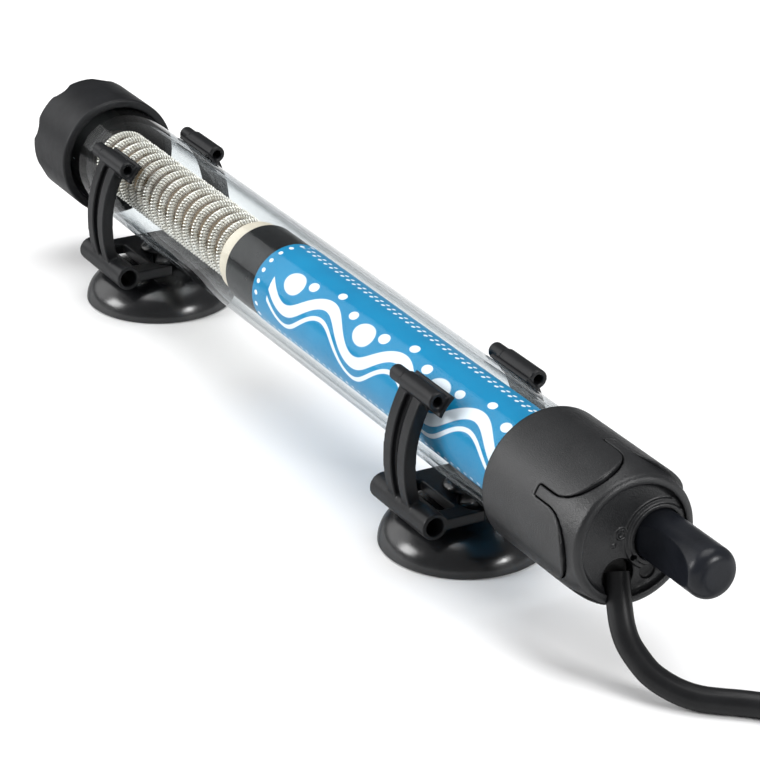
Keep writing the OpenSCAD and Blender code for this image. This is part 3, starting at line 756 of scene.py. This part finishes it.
# Bracket: arms (centre of their curve, its radius, thickness, width, width of a rib), tips,
# eyes (centre, radius, hole, half length), and the base plate with its keyhole and slots.
ARM_Y, ARM_Z, ARM_R, ARM_T, ARM_W, ARM_RIB = 13.1, -6.3, 28, 2.7, 8.5, 3
ARM_FROM, ARM_TO = 149, 202
TIP_Y, TIP_Z, TIP_R = 11.2, 8.6, 2
EYE_Y, EYE_Z, EYE_R, EYE_HOLE, EYE_HALF = 12.8, -16.6, 2.8, 1.9, 10.75
PLATE_LOW, PLATE_TOP = 9.4, 11.8
NECK_R, HEAD_R, HEAD_X, KEY_HALF = 3.4, 4.8, 6.2, 2.6
SLOT_Y, SLOT_HALF_X, SLOT_HALF_Y = 7.9, 6.5, 1.8
PAD_ANGLE, PAD = 38, ((-5, -2.4, TUBE_R - 0.4), (9, 2.4, TUBE_R + 0.8))


def bracket(which, x):
    """A bracket that grips the tube: two ribbed arms on a base with an eye at each side."""
    across = Matrix(((0, 0, 1, 0), (1, 0, 0, 0), (0, 1, 0, 0), (0, 0, 0, 1)))
    below, above = PLATE_LOW - 1, PLATE_LOW + 5
    half_w, half_t = ARM_W / 2, ARM_T / 2
    base = block((-EYE_HALF, -EYE_Y, PLATE_LOW), (EYE_HALF, EYE_Y, PLATE_TOP))
    solids, cutters = [], []
    for side in (-1, 1):
        flip = Matrix.Scale(-side, 4, (0, 1, 0))
        hinge = flip @ Matrix.Translation((0, ARM_Y, AXIS_Z + ARM_Z)) @ across
        eye, tip = at(0, side * EYE_Y, EYE_Z), at(0, side * TIP_Y, TIP_Z)
        rim = arc((0, 0), ARM_R + half_t, ARM_FROM, ARM_TO, 60)
        rim += arc((0, 0), ARM_R - half_t, ARM_TO, ARM_FROM, 60)
        groove = arc((0, 0), ARM_R + ARM_T, 140, 210, 60) + arc((0, 0), ARM_R, 210, 140, 60)
        arm = prism(rim, -half_w, half_w, hinge)
        combine(arm, "DIFFERENCE", [prism(groove, ARM_RIB - half_w, half_w - ARM_RIB, hinge)])
        solids += [
            arm,
            rod(EYE_R, -EYE_HALF, EYE_HALF, eye),
            rod(TIP_R, -3.6, 8.2, tip),
            rod(TIP_R - 0.3, -8.2, -4, tip),
            rod(TIP_R - 0.7, -4.2, -3.2, tip),
            block(*PAD, flip @ round_axis(PAD_ANGLE)),
        ]
        cutters += [
            rod(EYE_HOLE, -20, 20, eye),
            rod(1, 5.2, 13, tip, 32),
            block((-SLOT_HALF_X, side * SLOT_Y - SLOT_HALF_Y, below),
                  (SLOT_HALF_X, side * SLOT_Y + SLOT_HALF_Y, above)),
        ]
    combine(base, "UNION", solids)
    cutters += [
        rod(TUBE_R + 0.06, -20, 20, at(0), 256),
        rod(NECK_R, 0, 6, Matrix.Translation((0, 0, below))),
        rod(HEAD_R, 0, 6, Matrix.Translation((HEAD_X, 0, below))),
        block((0, -KEY_HALF, below), (HEAD_X, KEY_HALF, above)),
    ]
    combine(base, "DIFFERENCE", cutters)
    base.data.transform(Matrix.Translation((x, 0, 0)))
    finish(soften(base, 0.215, 4), f"bracket_{which}", f"{which}_clip", "clip", "clip_plastic",
           f"clip_{which}")


def smooth_line(points, steps):
    """A smooth curve through the points."""
    ends = [points[0], *points, points[-1]]
    line = []
    for a, b, c, d in zip(ends, ends[1:], ends[2:], ends[3:]):
        for i in range(steps):
            t = i / steps
            line.append(tuple(0.5 * (2 * q + (r - p) * t + (2 * p - 5 * q + 4 * r - s) * t * t
                                     + (3 * q - p - 3 * r + s) * t ** 3)
                              for p, q, r, s in zip(a, b, c, d)))
    return line + [points[-1]]


def suction_cup(which, low, high):
    """A rubber cup whose headed stem stands in the bracket's keyhole."""
    rim, top = (high.y - low.y) / 2, high.z
    neck, head = 3.1, 4.5
    ledge = top - 1.95
    skin = smooth_line([(rim - 0.05, 0.35), (rim - 0.25, 1.7), (rim - 0.95, 3.4), (rim - 2.3, 5),
                        (rim - 4.2, 6.4), (rim - 7, 7.6), (rim - 10.2, 8.4), (neck + 0.9, 8.9)], 5)
    stem = smooth_line([(neck, 9.5), (neck - 0.1, 10.5), (neck, ledge - 0.15)], 3)
    cap = [(head - 0.3, ledge), (head, ledge + 0.25), (head - 0.25, ledge + 0.75),
           (neck + 0.1, top - 0.35), (neck - 0.9, top - 0.05), (0, top)]
    under = smooth_line([(0, 5.6), (4, 5.4), (8, 4.4), (12, 2.5), (rim - 1.7, 0.15)], 5)
    profile = skin + stem + cap + under + [(rim - 0.5, 0)]
    cup = lathe("cup", profile, Matrix.Translation(((low.x + high.x) / 2, 0, 0)), 160)
    finish(cup, f"suction_cup_{which}", f"{which}_cup", "cup", "rubber", f"cup_{which}")


for which in ("front", "rear"):
    cup_low, cup_high = box_mm(f"cup_{which}")
    bracket(which, (cup_low.x + cup_high.x) / 2)
    suction_cup(which, cup_low, cup_high)

# ---- heating element ----

COIL_TURNS = 16
STRAND_R = 1.02
WIRE_R = 0.3
WIRE_PITCH = 0.68
WIRE_STEPS, WIRE_SIDES = 8, 6


def heating_coil():
    """Fine wire wound as a close coil, and that coil wound round the ceramic core."""
    core_line = (coil_high.z - coil_low.z) / 2 - STRAND_R
    start, end = coil_low.x + STRAND_R, coil_high.x - STRAND_R
    strand = COIL_TURNS * math.hypot(math.tau * core_line, (end - start) / COIL_TURNS)
    beads = round(strand / WIRE_PITCH)
    count = beads * WIRE_STEPS
    corners = [math.tau * k / WIRE_SIDES for k in range(WIRE_SIDES)]
    lift = (end - start) / (COIL_TURNS * math.tau)

    def point(i):
        share = i / count
        a = math.tau * COIL_TURNS * share
        b = math.tau * beads * share
        out = Vector((0, math.cos(a), math.sin(a)))
        run = Vector((lift, -core_line * math.sin(a), core_line * math.cos(a))).normalized()
        over = run.cross(out)
        centre = Vector((start + (end - start) * share, 0, AXIS_Z)) + out * core_line
        return centre + (STRAND_R - WIRE_R) * (math.cos(b) * out + math.sin(b) * over)

    bm = bmesh.new()
    rings = []
    for i in range(count + 1):
        here, ahead = point(i), point(i + 0.5) - point(i - 0.5)
        ahead.normalize()
        a = ahead.cross(Vector((1, 0.2, 0.1))).normalized()
        b = ahead.cross(a)
        rings.append([bm.verts.new(here + WIRE_R * (math.cos(c) * a + math.sin(c) * b))
                      for c in corners])
    for first, second in zip(rings, rings[1:]):
        for k in range(WIRE_SIDES):
            n = (k + 1) % WIRE_SIDES
            bm.faces.new((first[k], first[n], second[n], second[k]))
    bm.faces.new(rings[0])
    bm.faces.new(rings[-1])
    finish(from_bmesh("coil", bm), "coiled_wire", "heater", "wire", "resistance_wire",
           "heating_coil")


heating_coil()

# ---- plug and tie ----


GRIPS, GRIP_FIRST, GRIP_PITCH, GRIP_W = 5, 17, 3, 1.4
RELIEF_RINGS, RELIEF_PITCH, RELIEF_R, RELIEF_GROWS = 5, 2.2, 3.3, 0.25


def plug():
    """The plug's body with finger grips, and a ribbed strain relief that tapers to the lead."""
    low, high = box_mm("plug_body")
    mid_y, mid_z = (low.y + high.y) / 2, (low.z + high.z) / 2
    half_w, half_t = (high.y - low.y) / 2, (high.z - low.z) / 2
    length = high.x - low.x
    place = Matrix.Translation((low.x, mid_y, mid_z))
    outline = [(10, 8), (14, 13), (19, half_w - 0.3), (length - 6, half_w), (length, half_w - 2.5)]
    outline += [(x, -y) for x, y in reversed(outline)]
    body = prism(outline, -half_t, half_t, place)
    grips = []
    for k in range(GRIPS):
        start = low.x + GRIP_FIRST + GRIP_PITCH * k
        for side in (-1, 1):
            middle = mid_y + side * (half_w + 0.2)
            grips.append(block((start, middle - 1, mid_z - 9), (start + GRIP_W, middle + 1, mid_z + 9)))
    combine(body, "DIFFERENCE", grips)
    relief = [(0, 0), (3.1, 0)]
    for k in range(RELIEF_RINGS):
        radius, start = RELIEF_R + RELIEF_GROWS * k, RELIEF_PITCH * k
        relief += [(radius, start + 0.4), (radius + 0.1, start + 1.5), (radius - 0.6, start + 1.7),
                   (radius - 0.6, start + 2.2)]
    relief += [(4.5, 12), (5, 16), (0, 16)]
    combine(body, "UNION", [lathe("relief", relief, place @ ALONG_X, 64)])
    combine(body, "DIFFERENCE", [rod(CORD_R + 0.1, -1, 4, place @ ALONG_X)])
    return finish(soften(body, 0.26, 6), "plug_shell", "heater", "plug", "plug_plastic",
                  "plug_body")


plug_shell = plug()


def tie():
    """A grooved strap round the hank's straight runs."""
    low, high = box_mm("cord_tie")
    strap = block(low, high)
    inner_low = (low.x - 1, low.y + 0.75, low.z + 0.5)
    combine(strap, "DIFFERENCE", [block(inner_low, (high.x + 1, high.y - 0.75, high.z - 0.6))])
    ribs = [block((low.x + start, low.y - 1, high.z - 0.2), (low.x + start + 0.5, high.y + 1, high.z + 1))
            for start in (1.2, 2.6, 4, 5.4, 6.8)]
    combine(strap, "DIFFERENCE", ribs)
    return finish(soften(strap, 0.12, 3), "hank_strap", "heater", "clip", "clip_plastic",
                  "cord_tie")


hank_strap = tie()

# ---- CAD nodes that show as they are ----

SHOWN = {
    "seal": ["guard_cushion", "cap_gasket", "seal_plug", "knob_seal", "cord_gland"],
    "ceramic": ["front_collar"],
    "core": ["ceramic_core"],
    "stop": ["rear_collar"],
    "sleeve": ["insulating_sleeve"],
    "label": ["label_film"],
    "board": ["thermostat_chassis"],
    "brass": ["bimetal_strip", "contact_lever", "terminal_pins"],
    "silver": ["bimetal_contact", "lever_contact"],
    "steel": ["bimetal_rivets", "lever_pin", "lead_wires", "support_rods", "spindle",
              "spindle_clip", "plug_pins"],
    "magnet": ["snap_magnet"],
    "capacitor": ["suppression_capacitor"],
    "nylon": ["plunger"],
}

# Width, in millimetres, of the rounding on the edges of these CAD pieces.
ROUNDED = {"front_collar": 0.4, "rear_collar": 0.3, "thermostat_chassis": 0.15,
           "suppression_capacitor": 0.6, "plunger": 0.25, "plug_pins": 0.5}


def edge_rounding(piece, width):
    bevel = piece.modifiers.new("edges", "BEVEL")
    bevel.width = width * MM
    bevel.segments = 2
    bevel.limit_method = "ANGLE"
    bevel.angle_limit = math.radians(40)


for kind, names in SHOWN.items():
    for name in names:
        dress(NODES[name], kind)
for name, width in ROUNDED.items():
    edge_rounding(NODES[name], width)

# ---- floor and light ----


def make_floor():
    s = Shader("floor")
    s.set(Roughness=0.6, Specular_IOR_Level=0.2)
    s.colour(s.ramp(s.noise(400, 2), (RAMP_LOW, (0.86, 0.86, 0.865)),
                    (RAMP_HIGH, (0.88, 0.88, 0.88))))
    bm = bmesh.new()
    bmesh.ops.create_grid(bm, x_segments=2, y_segments=2, size=3)
    mesh = bpy.data.meshes.new("floor")
    bm.to_mesh(mesh)
    bm.free()
    floor = made("floor", mesh)
    floor.data.materials.append(s.material)


def area_light(name, place, target, size, power):
    """A square softbox at place, turned to target: metres and watts."""
    data = bpy.data.lights.new(name, "AREA")
    data.size = size
    data.energy = power
    lamp = bpy.data.objects.new(name, data)
    bpy.context.scene.collection.objects.link(lamp)
    lamp.location = place
    lamp.rotation_mode = "QUATERNION"
    lamp.rotation_quaternion = (Vector(target) - Vector(place)).to_track_quat("-Z", "Y")


def make_world(strength):
    world = bpy.data.worlds.new("studio")
    world.use_nodes = True
    background = world.node_tree.nodes["Background"]
    background.inputs["Color"].default_value = (1, 1, 1, 1)
    background.inputs["Strength"].default_value = strength
    bpy.context.scene.world = world


make_floor()
make_world(0.28)
area_light("overhead", (-0.1, 0.1, 1.5), (0, 0, 0.02), 1.2, 20)
area_light("back_left", (-0.95, -0.5, 0.55), (0, 0, 0.02), 0.8, 3.6)
area_light("front_left", (-0.38, -0.9, 0.45), (0.05, 0, 0.02), 0.42, 8)
area_light("front_right", (0.95, 0.35, 0.45), (0.08, 0, 0.02), 0.3, 8)
bpy.context.scene.view_settings.view_transform = "Standard"
